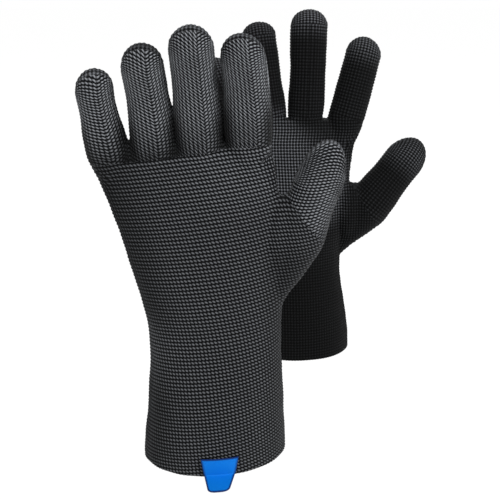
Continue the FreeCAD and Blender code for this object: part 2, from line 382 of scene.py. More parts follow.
class Stall:
    """The curved tube of one finger or thumb, placed by its joint in the frame."""

    def __init__(self, digit: Digit, pose: Pose, joint: dict, glove: "Glove") -> None:
        """Read the joint's place and axis, in the glove's own directions.

        Args:
            digit: the stall's sizes.
            pose: how it stands.
            joint: its knuckle in the frame.
            glove: the glove that it belongs to.
        """
        self.digit = digit
        self.pose = pose
        self.length = digit.length - pose.trim
        self.joint = glove.to_local(np.array([joint["pos_m"]]))[0]
        across = np.array(joint["axis"], float)
        self.across = across * (1 if across[0] > 0 else -1)
        self.along = np.array([-self.across[2], 0.0, self.across[0]])
        self.palmward = np.array([0.0, -1.0, 0.0])
        self.body = joint["child"]
        self.seam = GUSSET_SEAM
        self.start = (glove.stations[-1].height + glove.web_rounding - self.joint[2]) / self.along[2]

    def frame_at(self, distance: np.ndarray) -> tuple[np.ndarray, np.ndarray, np.ndarray]:
        """Centre, direction along and direction to the palm at distances from the joint.

        Args:
            distance: places along the stall, below the joint where negative.

        Returns:
            Three rows of x, y and z for each place.
        """
        start, end = math.radians(self.pose.curl_root), math.radians(self.pose.curl_tip)
        rate = (end - start) / self.length
        place = np.maximum(distance, 0.0)
        turn = start + rate * place
        forward = (np.sin(turn) - math.sin(start)) / rate + np.minimum(distance, 0.0)
        sideways = (math.cos(start) - np.cos(turn)) / rate
        bent = np.where(distance <= 0, 0.0, turn)
        centre = self.joint + np.outer(forward, self.along) + np.outer(sideways, self.palmward)
        centre = centre + np.outer(self.pose.sway * (place / self.length) ** 2, self.across)
        along = np.outer(np.cos(bent), self.along) + np.outer(np.sin(bent), self.palmward)
        deep = np.outer(np.cos(bent), self.palmward) - np.outer(np.sin(bent), self.along)
        return centre, along, deep

    def radius_at(self, distance: np.ndarray) -> np.ndarray:
        """Mean radius of the tube before its rounded tip.

        Args:
            distance: places along the stall.

        Returns:
            The radius at each place.
        """
        end = self.length - self.pose.dome
        root = self.digit.root_radius + self.pose.swell
        return eased([(-self.digit.root_below, self.digit.buried_radius), (0.0, root), (end * FULL_UNTIL, root),
                      (end * SLIM_FROM, self.digit.radius)], distance)

    def rings(self, inset: float, count: int = 40) -> list[np.ndarray]:
        """Rings of points along the stall, drawn in by an inset.

        Args:
            inset: how far the rings lie inside the outer form.
            count: points in each ring.

        Returns:
            The rings from the buried root to the tip.
        """
        end = self.length - self.pose.dome
        tube_rows, dome_rows = 24, 14
        stops = [(distance, 1.0) for distance in np.linspace(-self.digit.root_below, end, tube_rows)]
        stops += [(end + (self.pose.dome - inset) * math.sin(turn), math.cos(turn))
                  for turn in np.linspace(0.0, math.pi / 2, dome_rows)[1:-1]]
        stops.append((self.length - inset, TIP_SHARE))
        turns = np.linspace(0, 2 * math.pi, count, endpoint=False)
        made = []
        for distance, share in stops:
            centre, _, deep = self.frame_at(np.array([distance]))
            radius = float(self.radius_at(distance))
            wide = (radius * (1 + self.pose.flattening) - inset) * share
            thick = (radius * (1 - self.pose.flattening) - inset) * share
            made.append(centre + np.outer(np.cos(turns) * wide, self.across) + np.outer(np.sin(turns) * thick, deep[0]))
        return made

    def locate(self, points: np.ndarray) -> tuple[np.ndarray, np.ndarray, np.ndarray]:
        """Distance along the tube, offset across and offset to the palm of local points.

        Args:
            points: places in the glove's own millimetres.

        Returns:
            The three measures of each point.
        """
        count = 90
        samples = np.linspace(-REACH_BELOW, self.length + REACH_PAST, count)
        centre, along, deep = self.frame_at(samples)
        offset = points - self.joint
        forward, sideways = offset @ self.along, offset @ self.palmward
        path = np.stack([(centre - self.joint) @ self.along, (centre - self.joint) @ self.palmward], 1)
        best = np.zeros(len(points), int)
        least = np.full(len(points), 1e9)
        for row, (a, b) in enumerate(path):
            gap = (forward - a) ** 2 + (sideways - b) ** 2
            closer = gap < least
            best[closer], least[closer] = row, gap[closer]
        from_centre = points - centre[best]
        distance = samples[best] + np.einsum("ij,ij->i", from_centre, along[best])
        return distance, from_centre @ self.across, np.einsum("ij,ij->i", from_centre, deep[best])


@dataclass
class Layer:
    """One whole layer of a glove as arrays, before it is parted into pieces."""
    points: np.ndarray          # places in the glove's own millimetres
    corners: np.ndarray         # point of each face corner
    starts: np.ndarray          # first corner of each face
    counts: np.ndarray          # corners of each face
    cells: np.ndarray           # cell coordinates of each corner
    tone: np.ndarray            # painted light and shade of each point, over the back's near-black tone, as a factor
    turned: np.ndarray          # faces that look to the back of the hand

    @classmethod
    def read(cls, mesh: bpy.types.Mesh, points: np.ndarray) -> "Layer":
        """Read a mesh's faces into arrays.

        Args:
            mesh: the mesh of a whole layer.
            points: its points, in the glove's own millimetres.

        Returns:
            The layer, with its pattern and tone still empty.
        """
        counts = np.empty(len(mesh.polygons), int)
        starts = np.empty(len(mesh.polygons), int)
        corners = np.empty(len(mesh.loops), int)
        mesh.polygons.foreach_get("loop_total", counts)
        mesh.polygons.foreach_get("loop_start", starts)
        mesh.loops.foreach_get("vertex_index", corners)
        return cls(points, corners, starts, counts, np.zeros((len(corners), 2)), np.ones(len(points)),
                   np.zeros(len(counts), bool))

    def face_of(self) -> np.ndarray:
        """The face of each corner."""
        return np.repeat(np.arange(len(self.counts)), self.counts)

    def centres(self) -> np.ndarray:
        """The middle of each face."""
        total = np.zeros((len(self.counts), 3))
        np.add.at(total, self.face_of(), self.points[self.corners])
        return total / self.counts[:, None]


@dataclass(frozen=True)
class Look:
    """Where the sewn lines and folds of one glove lie, in its own millimetres; the crease under the fingers also
    carries painted shade.
    """
    crease: tuple[tuple[float, float], ...]     # (x, height) of the seam under the fingers, palm side
    row_rise: float             # slope of the hand's rows towards the thumb
    thumb_split: tuple[float, float]            # (x, height) of the fork beside the thumb
    thumb_normal: tuple[float, float]           # direction in which the thumb starts to turn
    thenar: tuple[float, float]                 # heights between which the thumb's mound begins
    thenar_end: tuple[float, float] = (168.0, 190.0)
    web_height: float = 30.0    # half height of the fold between hand and thumb
    web_width: float = 15.0
    web_depth: float = 15.0
    web_lift: float = 0.0
    web_lean: float = 0.1
    cuff_twist: float = 0.0     # how far the cuff is turned against the palm, as a slope


RIGHT_LOOK = Look(
    crease=((-80.0, 197.0), (-46.0, 200.0), (-22.0, 203.0), (-3.0, 205.0), (5.5, 207.0), (20.0, 209.0), (40.0, 210.0)),
    row_rise=0.12, thumb_split=(47.0, 177.5), thumb_normal=(0.8, 0.6), thenar=(96.0, 116.0), cuff_twist=0.09)
LEFT_LOOK = Look(
    crease=((-65.0, 178.0), (-40.0, 186.0), (-8.0, 191.0), (23.0, 187.0), (50.0, 180.0)),
    row_rise=0.12, thumb_split=(46.5, 141.0), thumb_normal=(0.85, 0.53), thenar=(84.0, 102.0),
    thenar_end=(148.0, 170.0), web_height=24.0, web_width=14.5, web_lift=1.5)

CUFF_TWIST_SPAN = (5.0, 105.0)      # heights over which the cuff's turn runs out
THUMB_PART_LEAN = 0.45              # lean of the cut beside the thumb, as a share of the thumb's own
BULGE_SPAN = (1.03, 1.18)           # how far outside the oval, in shares of it, cells follow its width alone
FACING_SPAN = (0.8, 0.97)           # how far aside cells still follow the width
THENAR_SPAN = (0.72, 0.9)           # how far aside cells lie flat over the thumb's mound
THENAR_STRETCH = 1.12
SOCKET_DEPTH = 25.0                 # how far below its joint a finger may still own skin
ROW_START = 0.4                     # share of their full slant that a finger's rows have at its outer side
FAR = 50.0                          # a distance at which no seam shows
SEAM_DEPTH, SEAM_WIDTH = 0.42, 0.8
GUSSET_SEAM_NARROW = 1.3            # a gusset's seam is narrower than the side seams
GUSSET_SEAM_FAINT = 0.3             # and a little shallower
CREASE_DEPTH, CREASE_WIDTH = 0.55, 1.3
WAVE_SEEDS = {Side.RIGHT: 7, Side.LEFT: 11}
WAVES = ((52.0, 0.35), (34.0, 0.28), (21.0, 0.2), (14.0, 0.12))     # length and height of the broad waves
WAVES_PER_LENGTH = 3


@dataclass(frozen=True)
class PaintedShadeAndTone:
    """How the fabric's tone changes over a glove: painted light and shade, over the near-black tone of its back.

    A span is where an effect goes from none to full. Spans across are shares of the half width or the radius,
    and spans of height or distance are millimetres above the hem or past a joint.
    """
    side_blend: float = 2.0     # half width of the change from palm to back
    # Painted shade and light on the palm and the cuff's front: darker to both sides, lighter under the fingers
    palm_edge: tuple[float, float] = (0.3, 1.0)
    palm_edge_loss: float = 0.62
    palm_edge_above: tuple[float, float] = (84.0, 108.0)
    cuff_edge_share: float = 0.8
    cuff_edge_below: tuple[float, float] = (44.0, 74.0)
    top_gain: float = 0.4
    top_aside: tuple[float, float] = (-0.4, 0.5)
    top_above: tuple[float, float] = (158.0, 188.0)
    thumb_side_loss: float = 0.5
    thumb_side: tuple[float, float] = (0.6, 1.05)
    thumb_side_below: tuple[float, float] = (130.0, 160.0)
    # The back: nearly black, with painted light on the upper hand and painted shade lower down
    black: float = 0.05
    black_gain: float = 0.04
    black_above: tuple[float, float] = (60.0, 100.0)
    patch: float = 0.86
    patch_above: tuple[float, float] = (102.0, 134.0)
    patch_top: float = 168.0
    patch_top_rise: float = 16.0
    patch_top_aside: tuple[float, float] = (-0.2, 0.4)
    patch_fade: float = 28.0
    patch_thumb_loss: float = 0.65
    patch_thumb_aside: tuple[float, float] = (0.1, 0.6)
    patch_thumb_above: tuple[float, float] = (150.0, 176.0)
    patch_edge: tuple[float, float] = (0.7, 1.1)
    # The fingers and thumb: painted light in front, painted shade where they meet, over the crease and at the thumb's
    # outer edge, with painted light on the tips behind
    finger_root: float = 1.15
    finger: float = 1.95
    finger_from: tuple[float, float] = (0.0, 26.0)
    thumb_edge_loss: float = 0.5
    thumb_edge: tuple[float, float] = (0.35, 1.0)
    between_loss: float = 0.8
    between: tuple[float, float] = (0.5, 1.0)
    between_below: tuple[float, float] = (10.0, 38.0)
    crease_loss: float = 0.55
    crease_width: float = 6.0
    crease_aside: tuple[float, float] = (-34.0, 2.0)
    stall_black: float = 0.07
    root_fade: tuple[float, float] = (4.0, 32.0)
    tips: tuple[float, ...] = (0.6, 0.3, 0.75, 0.65, 0.5)
    tip_span: tuple[float, float] = (-14.0, 9.0)
    thumb_root_gain: float = 0.15
    thumb_root: tuple[float, float] = (-12.0, 10.0)

    def palm(self, aside: np.ndarray, height: np.ndarray) -> np.ndarray:
        """Painted shade and light on the palm and the cuff's front.

        Args:
            aside: places across, as shares of the half width.
            height: heights above the hem.

        Returns:
            The factor at each place.
        """
        edge = (smoothstep(*self.palm_edge_above, height)
                + self.cuff_edge_share * (1 - smoothstep(*self.cuff_edge_below, height)))
        return (1 - self.palm_edge_loss * smoothstep(*self.palm_edge, -aside) * edge
                + self.top_gain * smoothstep(*self.top_aside, aside) * smoothstep(*self.top_above, height)
                - self.thumb_side_loss * smoothstep(*self.thumb_side, aside)
                * (1 - smoothstep(*self.thumb_side_below, height)))

    def back_of_hand(self, aside: np.ndarray, height: np.ndarray) -> np.ndarray:
        """Tone of the back: black, with painted light on the upper hand and painted shade lower down.

        Args:
            aside: places across, as shares of the half width.
            height: heights above the hem.

        Returns:
            The factor at each place.
        """
        top = self.patch_top + self.patch_top_rise * (1 - smoothstep(*self.patch_top_aside, aside))
        lit = smoothstep(*self.patch_above, height) * (1 - smoothstep(0.0, self.patch_fade, height - top))
        lit = lit * (1 - self.patch_thumb_loss * smoothstep(*self.patch_thumb_aside, aside)
                     * smoothstep(*self.patch_thumb_above, height))
        return (self.black + self.black_gain * smoothstep(*self.black_above, height)
                + self.patch * lit * (1 - smoothstep(*self.patch_edge, aside)))

    def stall_front(self, distance: np.ndarray) -> np.ndarray:
        """Painted light on a stall's palm side, lighter from its root outwards, before its painted shade is taken off.
        """
        return self.finger_root + (self.finger - self.finger_root) * smoothstep(*self.finger_from, distance)

    def thumb_front(self, outwards: np.ndarray, distance: np.ndarray) -> np.ndarray:
        """Painted light on the thumb's palm side, with painted shade to its outer edge."""
        return self.stall_front(distance) * (1 - self.thumb_edge_loss * smoothstep(*self.thumb_edge, outwards))

    def finger_front(self, outwards: np.ndarray, distance: np.ndarray, x: np.ndarray, above: np.ndarray) -> np.ndarray:
        """Painted light on a finger's palm side, with painted shade between the fingers and over the crease.

        Args:
            outwards: places across the finger, as shares of its radius.
            distance: places along it.
            x: places across the glove.
            above: heights above the crease.

        Returns:
            The factor at each place.
        """
        # painted shade between the fingers and in the crease under them
        between_shade = smoothstep(*self.between, np.abs(outwards)) * (1 - smoothstep(*self.between_below, distance))
        crease_shade = np.exp(-(above / self.crease_width) ** 2) * (1 - smoothstep(*self.crease_aside, x))
        return self.stall_front(distance) * (1 - self.between_loss * between_shade) * (1 - self.crease_loss * crease_shade)

    def stall_back(self, number: int, distance: np.ndarray, tube_end: float, rear: np.ndarray) -> np.ndarray:
        """Tone of a stall's back: black, with painted light on the tip and the back of the hand's painted light carried
        onto its root.

        Args:
            number: the digit's number.
            distance: places along it.
            tube_end: where its rounded tip begins.
            rear: tone that the back of the hand would have there.

        Returns:
            The factor at each place.
        """
        root = np.maximum(rear - self.stall_black, 0.0) * (1 - smoothstep(*self.root_fade, distance))
        tip = smoothstep(tube_end + self.tip_span[0], tube_end + self.tip_span[1], distance)
        dark = self.stall_black + self.tips[number] * tip + root
        if number == THUMB:
            dark = dark + self.thumb_root_gain * (1 - smoothstep(*self.thumb_root, distance))
        return dark


@dataclass
class Glove:
    """One glove: its skin panels, fleece lining and woven tab."""
    side: Side
    stations: tuple[Station, ...]
    poses: dict[str, Pose]
    look: Look
    index_joint: float          # x of the index joint from the cuff's middle
    frame: dict
    fabric: Fabric = field(default_factory=Fabric)
    shade_and_tone: PaintedShadeAndTone = field(default_factory=PaintedShadeAndTone)
    voxel: float = 1.24         # size of the first form's faces
    lining_voxel: float = 2.0
    smoothing_loss: float = 0.1  # given back after smoothing
    below_hem: float = 6.0
    shrink: float = 0.7         # drawn in while melting, so that neighbouring fingers stay apart
    web_rounding: float = 2.5   # how far above the hand's top a finger's skin starts
    skin_passes: int = 8        # rounds of smoothing of the skin's form
    lining_passes: int = 4
    hem_height: float = 5.0     # how far up the skin is turned in at the hem
    level_below: float = 2.0    # height under which points move only sideways, so that the hem stays level
    lining_start: float = 3.0   # height of the lining's lower edge
    bend_reach: float = 28.0    # distance from a digit's skin start to the second place that bend_of gives
    fork_reach: float = 17.0    # how far the fork beside the thumb is rounded
    pieces: dict[str, bpy.types.Object] = field(default_factory=dict)
    turned: dict[str, np.ndarray] = field(default_factory=dict)

    def __post_init__(self) -> None:
        """Find the cuff's middle in the frame and place the stalls."""
        self.facing = -1 if self.side is Side.RIGHT else 1
        joints = {joint["child"]: joint for joint in self.frame["joints"]}
        index = joints[f"{self.side.value}_index"]
        self.origin = np.array([index["pos_m"][0] - self.index_joint * MM, index["pos_m"][1], 0.0])
        self.stalls = [Stall(digit, self.poses[digit.name], joints[f"{self.side.value}_{digit.name}"], self)
                       for digit in DIGITS]
        self.top = self.stations[-1].height

    def to_local(self, points: np.ndarray) -> np.ndarray:
        """Frame points in metres as the glove's own millimetres, palm to -Y and thumb to +X.

        Args:
            points: rows of x, y and z in the frame.

        Returns:
            The same places in the glove's own directions.
        """
        moved = (points - self.origin) / MM
        moved[:, 1] *= -self.facing
        return moved

    def to_frame(self, points: np.ndarray) -> np.ndarray:
        """The glove's own millimetres as frame points in metres.

        Args:
            points: places in the glove's own millimetres.

        Returns:
            The same places in the frame, with the cuff turned a little against the palm.
        """
        moved = np.array(points, float)
        moved[:, 1] += self.look.cuff_twist * moved[:, 0] * (1 - smoothstep(*CUFF_TWIST_SPAN, moved[:, 2]))
        moved[:, 1] *= -self.facing
        return moved * MM + self.origin

    def section(self, height: np.ndarray) -> tuple[np.ndarray, np.ndarray, np.ndarray]:
        """Middle, half width and half depth of the hand at heights.

        Args:
            height: heights above the hem.

        Returns:
            The three measures at each height.
        """
        left, right, depth = (eased([(s.height, getattr(s, side)) for s in self.stations], height)
                              for side in ("left", "right", "depth"))
        return (right - left) / 2, (right + left) / 2, depth

    def hand_rings(self, inset: float, count: int = 96) -> list[np.ndarray]:
        """Level rings round the cuff and hand, from below the hem to the finger roots.

        Args:
            inset: how far the rings lie inside the outer form.
            count: points in each ring.

        Returns:
            The rings from the bottom up.
        """
        rows = 72
        turns = np.linspace(0, 2 * math.pi, count, endpoint=False)
        rings = []
        for height in np.linspace(-self.below_hem, self.top - inset, rows):
            middle, half, depth = self.section(np.array([min(height + inset * height / self.top, self.top)]))
            rings.append(np.stack([middle[0] + (half[0] - inset) * np.cos(turns),
                                   (depth[0] - inset) * np.sin(turns), np.full(count, height)], 1))
        return rings

    def web_rings(self, inset: float) -> list[np.ndarray]:
        """The fold of skin that fills the fork between the hand and the thumb.

        Args:
            inset: how far the rings lie inside the outer form.

        Returns:
            The rings of a leaning, flattened ball, from the bottom up.
        """
        x, top = self.look.thumb_split
        rows, count, pole = 12, 32, 0.12
        turns = np.linspace(0, 2 * math.pi, count, endpoint=False)
        lean = self.look.web_lean
        rings = []
        for rise in np.linspace(pole, math.pi - pole, rows):
            along = -math.cos(rise) * self.look.web_height
            share = math.sin(rise)
            centre = np.array([x + lean * (along - self.look.web_height), 0.0,
                               top - self.look.web_height + along + self.look.web_lift])
            rings.append(centre + np.stack([np.cos(turns) * (self.look.web_width - inset) * share,
                                            np.sin(turns) * (self.look.web_depth - inset) * share,
                                            np.zeros(count)], 1))
        return rings

    def form(self, name: str, inset: float, voxel: float, passes: int) -> bpy.types.Object:
        """Hand, fingers and thumb melted into one smooth closed form.

        Args:
            name: the new object's name.
            inset: how far the form is drawn in from the outside.
            voxel: size of its faces.
            passes: rounds of smoothing, which round the forks between the fingers.

        Returns:
            The form, in the glove's own millimetres.
        """
        parts = []
        for rings in [self.hand_rings(inset), self.web_rings(inset)] + [stall.rings(inset) for stall in self.stalls]:
            part = mesh_object(name, *tube_rings(rings))
            pick(part)
            bpy.ops.object.mode_set(mode="EDIT")
            bpy.ops.mesh.select_all(action="SELECT")
            bpy.ops.mesh.normals_make_consistent(inside=False)
            bpy.ops.object.mode_set(mode="OBJECT")
            parts.append(part)
        pick(*parts)
        bpy.ops.object.join()
        form = bpy.context.view_layer.objects.active
        form.data.remesh_voxel_size = voxel
        form.data.remesh_voxel_adaptivity = 0.0
        bpy.ops.object.voxel_remesh()
        finish_with(form, "SMOOTH", factor=0.6, iterations=passes)
        fork = form.vertex_groups.new(name="fork")
        away = np.linalg.norm((coordinates(form) - (self.look.thumb_split[0], 0.0, self.look.thumb_split[1])), axis=1)
        for number in np.flatnonzero(away < self.fork_reach):
            fork.add([int(number)], 1 - away[number] / self.fork_reach, "REPLACE")
        finish_with(form, "SMOOTH", factor=0.8, iterations=30, vertex_group="fork")
        return form

    def open_hem(self, form: bpy.types.Object, height: float) -> None:
        """Cut a form level at a height and remove what is below.

        Args:
            form: a closed form.
            height: where it is cut.
        """
        pick(form)
        bpy.ops.object.mode_set(mode="EDIT")
        bpy.ops.mesh.select_all(action="SELECT")
        bpy.ops.mesh.bisect(plane_co=(0, 0, height), plane_no=(0, 0, 1), clear_inner=True)
        bpy.ops.object.mode_set(mode="OBJECT")

    def turn_in(self, form: bpy.types.Object, steps: list[tuple[float, float]]) -> None:
        """Extrude the open hem edge inwards through (inset, height) steps.

        Args:
            form: a form that is open at the hem.
            steps: how far in and how high each new edge lies.
        """
        work = bmesh.new()
        work.from_mesh(form.data)
        ring = [edge for edge in work.edges if edge.is_boundary]
        for inset, height in steps:
            made = bmesh.ops.extrude_edge_only(work, edges=ring)["geom"]
            middle, half, depth = (value[0] for value in self.section(np.array([max(height, 0.0)])))
            for vert in [item for item in made if isinstance(item, bmesh.types.BMVert)]:
                angle = math.atan2(vert.co.y / depth, (vert.co.x - middle) / half)
                vert.co = Vector((middle + (half - inset) * math.cos(angle), (depth - inset) * math.sin(angle), height))
            ring = [item for item in made if isinstance(item, bmesh.types.BMEdge)]
        work.to_mesh(form.data)
        work.free()

    def sort_points(self, points: np.ndarray) -> tuple[np.ndarray, np.ndarray]:
        """Which digit's skin each point belongs to as a piece, and as a pattern; -1 is the hand.

        Args:
            points: places in the glove's own millimetres.

        Returns:
            The digit's number by the cut between pieces, and by the seams of the pattern.
        """
        piece = np.full(len(points), -1)
        pattern = np.full(len(points), -1)
        nearest = np.full(len(points), 1e9)
        above_crease = (points[:, 1] < 0) & (points[:, 2] > self.crease_at(points[:, 0]))
        for number, stall in enumerate(self.stalls[:-1]):
            offset = points - stall.joint
            forward, across = offset @ stall.along, offset @ stall.across
            gap = np.abs(across) / stall.digit.radius
            closer = (gap < nearest) & (forward > -SOCKET_DEPTH)
            above = forward > stall.start
            belongs = closer & above
            piece[belongs] = number
            pattern[closer & (above | above_crease)] = number
            piece[closer & ~above] = -1
            pattern[closer & ~above & ~above_crease] = -1
            nearest[closer] = gap[closer]
        fork = np.array([self.look.thumb_split[0], 0.0, self.look.thumb_split[1]])
        normal = np.array([self.look.thumb_normal[0], 0.0, self.look.thumb_normal[1]])
        normal /= np.linalg.norm(normal)
        thumb = ((points - fork) @ normal > 0) & (points[:, 0] > self.thumb_edge(points[:, 2]))
        piece[thumb] = THUMB
        pattern[thumb] = THUMB
        return piece, pattern

    def crease_at(self, x: np.ndarray) -> np.ndarray:
        """Height of the seam under the fingers at places across the palm."""
        return np.interp(x, [place for place, _ in self.look.crease], [height for _, height in self.look.crease])

    def thumb_edge(self, height: np.ndarray) -> np.ndarray:
        """x that parts the thumb from the hand and index finger at heights.

        Args:
            height: heights above the hem.

        Returns:
            The x at each height.
        """
        fork_x, fork_z = self.look.thumb_split
        stall = self.stalls[-1]
        lean = stall.along[0] / stall.along[2]
        return fork_x + (height - fork_z) * lean * THUMB_PART_LEAN - 1.0

    def hand_grid(self, points: np.ndarray) -> np.ndarray:
        """Cell coordinates on the hand and cuff: round the oval and up it.

        Args:
            points: places in the glove's own millimetres.

        Returns:
            Two coordinates for each point, in cells.
        """
        rows, columns = 70, 361
        heights = np.linspace(0.0, self.top, rows)
        turns = np.linspace(-math.pi, math.pi, columns)
        middle, half, depth = self.section(heights)
        speed = np.sqrt((half[:, None] * np.cos(turns)) ** 2 + (depth[:, None] * np.sin(turns)) ** 2)
        arc = np.cumsum(speed, axis=1) * (turns[1] - turns[0])
        arc -= arc[:, columns // 2:columns // 2 + 1]
        round_length = arc[:, -1:] - arc[:, :1]
        own_middle, own_half, own_depth = self.section(points[:, 2])
        aside, ahead = (points[:, 0] - own_middle) / own_half, -points[:, 1] / own_depth
        by_angle = np.arctan2(aside, ahead)
        by_width = np.arcsin(np.clip(aside, -1, 1))
        by_width = np.where(ahead < 0, np.sign(aside) * math.pi - by_width, by_width)
        bulge = smoothstep(*BULGE_SPAN, np.hypot(aside, ahead))
        facing = 1 - smoothstep(*FACING_SPAN, np.abs(aside))
        turn = by_angle + (by_width - by_angle) * np.maximum(bulge, facing)
        row = np.clip(points[:, 2] / self.top * (rows - 1), 0, rows - 1.001)
        below = row.astype(int)
        part_up = row - below

        def arc_at(angle: np.ndarray) -> np.ndarray:
            """Length round the oval from its front to angles.

            Args:
                angle: one angle for each point.

            Returns:
                The length at each point's own height.
            """
            column = np.clip((angle + math.pi) / (2 * math.pi) * (columns - 1), 0, columns - 1.001)
            before = column.astype(int)
            part_on = column - before
            return ((1 - part_up) * ((1 - part_on) * arc[below, before] + part_on * arc[below, before + 1])
                    + part_up * ((1 - part_on) * arc[below + 1, before] + part_on * arc[below + 1, before + 1]))

        length = arc_at(turn)
        flat_from = math.asin(THENAR_SPAN[0])
        back_side = points[:, 1] > 0
        base = arc_at(np.where(back_side, math.pi - flat_from, flat_from))
        out = (aside - THENAR_SPAN[0]) * own_half * THENAR_STRETCH
        flat = base + np.where(back_side, -out, out)
        thenar = (smoothstep(*THENAR_SPAN, aside) * smoothstep(*self.look.thenar, points[:, 2])
                  * (1 - smoothstep(*self.look.thenar_end, points[:, 2])))
        length = length + (flat - length) * thenar
        around = (1 - part_up) * round_length[below, 0] + part_up * round_length[below + 1, 0]
        length = np.where(back_side, length - np.sign(length) * around / 2, length)
        rise = np.where(back_side, 0.0, self.look.row_rise)
        return np.stack([(length + rise * points[:, 2]) / self.fabric.pitch,
                         (points[:, 2] - rise * length) / self.fabric.pitch], 1)

    def stall_grid(self, points: np.ndarray, stall: "Stall") -> np.ndarray:
        """Cell coordinates on a finger or thumb, slanted towards its gusset seam.

        Args:
            points: places in the glove's own millimetres.
            stall: the finger or thumb.

        Returns:
            Two coordinates for each point, in cells.
        """
        distance, across, deep = stall.locate(points)
        wide = stall.radius_at(distance) * (1 + stall.pose.flattening)
        thick = stall.radius_at(distance) * (1 - stall.pose.flattening)
        tube_end = stall.length - stall.pose.dome
        over = np.arctan2((distance - tube_end) / stall.pose.dome, np.abs(deep) / thick)
        over_tip = stall.pose.dome * np.sin(over) + (math.pi / 2 - 1) * thick * (1 - np.cos(over))
        up = np.where(distance > tube_end, tube_end + over_tip, distance)
        turn = np.arcsin(np.clip(across / wide, -1, 1))
        turn = np.where((deep < 0) & (distance < tube_end), np.sign(across) * math.pi - turn, turn)
        radius = stall.digit.radius
        seam = math.asin(stall.seam)
        length = (turn + math.pi / 2) * radius
        reach = (seam + math.pi / 2) * radius
        palm_lift = stall.pose.slant * (ROW_START * length + (1 - ROW_START) * length ** 2 / reach)
        gusset_lift = stall.pose.slant * reach - stall.pose.gusset_slant * (turn - seam) * radius
        lift = np.where(turn < seam, palm_lift, gusset_lift)
        lift = np.where((deep < 0) & (turn < math.pi / 2) | (turn < -math.pi / 2), 0.0, lift)
        return np.stack([length / self.fabric.pitch, (up + lift) / self.fabric.pitch], 1)

    def cell_coordinates(self, points: np.ndarray, pattern: np.ndarray) -> np.ndarray:
        """Cell coordinates of points, each by the digit or hand that its pattern follows.

        Args:
            points: places in the glove's own millimetres.
            pattern: the digit's number at each point, or -1 on the hand.

        Returns:
            Two coordinates for each point, in cells.
        """
        cells = self.hand_grid(points)
        for number, stall in enumerate(self.stalls):
            chosen = pattern == number
            if chosen.any():
                cells[chosen] = self.stall_grid(points[chosen], stall)
        return cells

    def relief_at(self, cells: np.ndarray, finger: np.ndarray, back: np.ndarray) -> np.ndarray:
        """Height of the weave's cells, from -1 to 1, as the finish draws it.

        Args:
            cells: cell coordinates.
            finger: which points lie on a finger or thumb.
            back: which points lie on the back.

        Returns:
            The height at each point.
        """
        u, v = 2 * math.pi * cells[:, 0], 2 * math.pi * cells[:, 1]
        height = np.zeros(len(cells))
        for chosen, weave in ((~finger & ~back, PALM_WEAVE), (finger & ~back, FINGER_WEAVE), (back, BACK_WEAVE)):
            value = weave.rows * np.cos(v) + weave.columns * np.cos(u) + weave.slanted * np.cos(u + v)
            height = np.where(chosen, value / (weave.rows + weave.columns + weave.slanted), height)
        return height

    def seam_depth(self, points: np.ndarray, pattern: np.ndarray) -> np.ndarray:
        """How deep the sewn lines press into the skin, in millimetres.

        Args:
            points: places in the glove's own millimetres.
            pattern: the digit's number at each point, or -1 on the hand.

        Returns:
            The depth at each point.
        """
        near = np.full(len(points), FAR)
        hand = pattern < 0
        near[hand] = np.abs(points[hand, 1])
        crease = self.crease_at(points[:, 0])
        front = points[:, 1] < 0
        inside = front & (points[:, 0] > self.look.crease[1][0]) & (points[:, 0] < self.look.crease[-1][0])
        fold = np.where(inside, np.abs(points[:, 2] - crease), FAR)
        for number, stall in enumerate(self.stalls):
            chosen = pattern == number
            if not chosen.any():
                continue
            distance, across, deep = stall.locate(points[chosen])
            gap = np.where(across < stall.seam * stall.digit.radius, np.abs(deep), FAR)
            if number != THUMB:
                beside = np.abs(across - stall.seam * stall.digit.radius)
                gap = np.minimum(gap, beside * GUSSET_SEAM_NARROW + GUSSET_SEAM_FAINT)
            else:
                gap = np.abs(deep)
            near[chosen] = gap
        return (SEAM_DEPTH * np.exp(-(near / SEAM_WIDTH) ** 2)
                + CREASE_DEPTH * np.exp(-(fold / CREASE_WIDTH) ** 2))

    def soft_waves(self, points: np.ndarray) -> np.ndarray:
        """Broad shallow unevenness of worn fabric, in millimetres.

        Args:
            points: places in the glove's own millimetres.

        Returns:
            The height at each point.
        """
        rng = np.random.default_rng(WAVE_SEEDS[self.side])
        total = np.zeros(len(points))
        for length, size in WAVES:
            for _ in range(WAVES_PER_LENGTH):
                direction = rng.normal(size=3) * (1.0, 1.0, 1.4)
                direction /= np.linalg.norm(direction)
                phase = rng.uniform(0, 6.28)
                total += size / WAVES_PER_LENGTH * np.sin(points @ direction * 2 * math.pi / length + phase)
        return total

    def skin(self) -> None:
        """Make the textured skin and part it into its panels."""
        form = self.form(f"{self.side.value}_form", self.shrink, self.voxel, self.skin_passes)
        self.open_hem(form, 0.0)
        finish_with(form, "SUBSURF", levels=1, render_levels=1)
        points = coordinates(form)
        points[:, 2] = np.where(points[:, 2] < 0.05, 0.0, points[:, 2])
        normals = np.empty(len(points) * 3)
        form.data.vertices.foreach_get("normal", normals)
        normals = normals.reshape(-1, 3)
        _, pattern = self.sort_points(points)
        cells = self.cell_coordinates(points, pattern)
        back = points[:, 1] > 0
        lift = self.fabric.relief * self.relief_at(cells, pattern >= 0, back)
        lift = lift - self.seam_depth(points, pattern) + self.soft_waves(points)
        normals[points[:, 2] < self.level_below, 2] = 0.0
        points += normals * (lift + self.shrink + self.smoothing_loss)[:, None]
        place_points(form, points)
        wall = self.fabric.skin
        self.turn_in(form, [(0.8, 0.0), (1.7, 0.0), (wall, 0.1), (wall, self.hem_height)])
        self.part(form, "skin")

    def fleece(self) -> None:
        """Make the fleece lining, parted where the skin is."""
        inset = self.fabric.skin + self.fabric.gap
        form = self.form(f"{self.side.value}_lining_form", inset, self.lining_voxel, self.lining_passes)
        self.open_hem(form, self.lining_start)
        finish_with(form, "SOLIDIFY", thickness=self.fabric.fleece, offset=-1.0)
        self.part(form, "lining")

